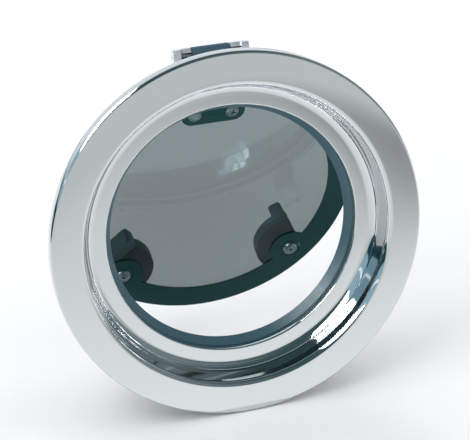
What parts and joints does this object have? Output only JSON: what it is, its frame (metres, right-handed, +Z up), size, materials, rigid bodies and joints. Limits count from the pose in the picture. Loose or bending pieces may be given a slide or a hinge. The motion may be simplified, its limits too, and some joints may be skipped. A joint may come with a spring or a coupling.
{
  "type": "deck hatch",
  "caption": "Round opening hatch: polished steel flange with a deep rolled throat, smoked clear lid hinged at the top, swinging inboard, and turning latch handles.",
  "frame": {"origin": "centre of the plane that the flange's rim seats on, which is the panel's outer face", "axes": "+X right and +Z up towards the hinge, as seen from outside; +Y inboard, through the panel"},
  "size_m": [0.32, 0.173, 0.32],
  "materials": {
    "polished_steel": "mirror polished",
    "bright_steel": "bright",
    "satin_steel": "satin",
    "dark_steel": "bright, black coated",
    "cast_alloy": "satin, fine cast",
    "liner_rubber": "smooth satin",
    "black_rubber": "matt",
    "smoked_acrylic": "gloss, smoked",
    "black_border": "satin gloss",
    "hinge_leaf_plastic": "satin",
    "black_plastic": "satin, fine grain",
    "dark_nylon": "satin"
  },
  "bodies": {
    "frame": {"outer_flange": "polished_steel", "panel_gasket": "black_rubber", "fixing_studs": "bright_steel", "stud_washers": "bright_steel", "stud_dome_nuts": "bright_steel", "inner_frame": "cast_alloy", "throat_liner": "liner_rubber", "lid_seal": "black_rubber", "left_keeper": "satin_steel", "right_keeper": "satin_steel", "keeper_screws": "bright_steel", "hinge_bracket": "satin_steel", "bracket_screws": "bright_steel", "hinge_pin": "bright_steel", "hinge_thrust_washers": "dark_nylon", "friction_screw": "dark_steel"},
    "lid": {"lid_pane": "smoked_acrylic", "lid_border": "black_border", "hinge_pad": "black_border", "hinge_pad_screws": "dark_steel", "hinge_leaf": "hinge_leaf_plastic", "knuckle_bushes": "dark_nylon", "left_spindle_bush": "black_plastic", "right_spindle_bush": "black_plastic", "left_spindle_oring": "black_rubber", "right_spindle_oring": "black_rubber"},
    "left_handle": {"left_cam": "black_plastic", "left_knob": "black_plastic", "left_spindle": "bright_steel", "left_cup_washer": "dark_steel", "left_handle_screw": "dark_steel"},
    "right_handle": {"right_cam": "black_plastic", "right_knob": "black_plastic", "right_spindle": "bright_steel", "right_cup_washer": "dark_steel", "right_handle_screw": "dark_steel"}
  },
  "joints": [
    {"name": "lid_hinge", "type": "hinge", "parent": "frame", "child": "lid", "pos_m": [0, 0.047, 0.1465], "axis": [1, 0, 0], "range_deg": [-22.6, 77.4]},
    {"name": "left_handle_turn", "type": "hinge", "parent": "lid", "child": "left_handle", "pos_m": [-0.0799, 0.12847, -0.06482], "axis": [0, -0.9232, -0.3843], "range_deg": [-89, 16]},
    {"name": "right_handle_turn", "type": "hinge", "parent": "lid", "child": "right_handle", "pos_m": [0.0799, 0.12847, -0.06482], "axis": [0, 0.9232, 0.3843], "range_deg": [-112, 0]}
  ]
}
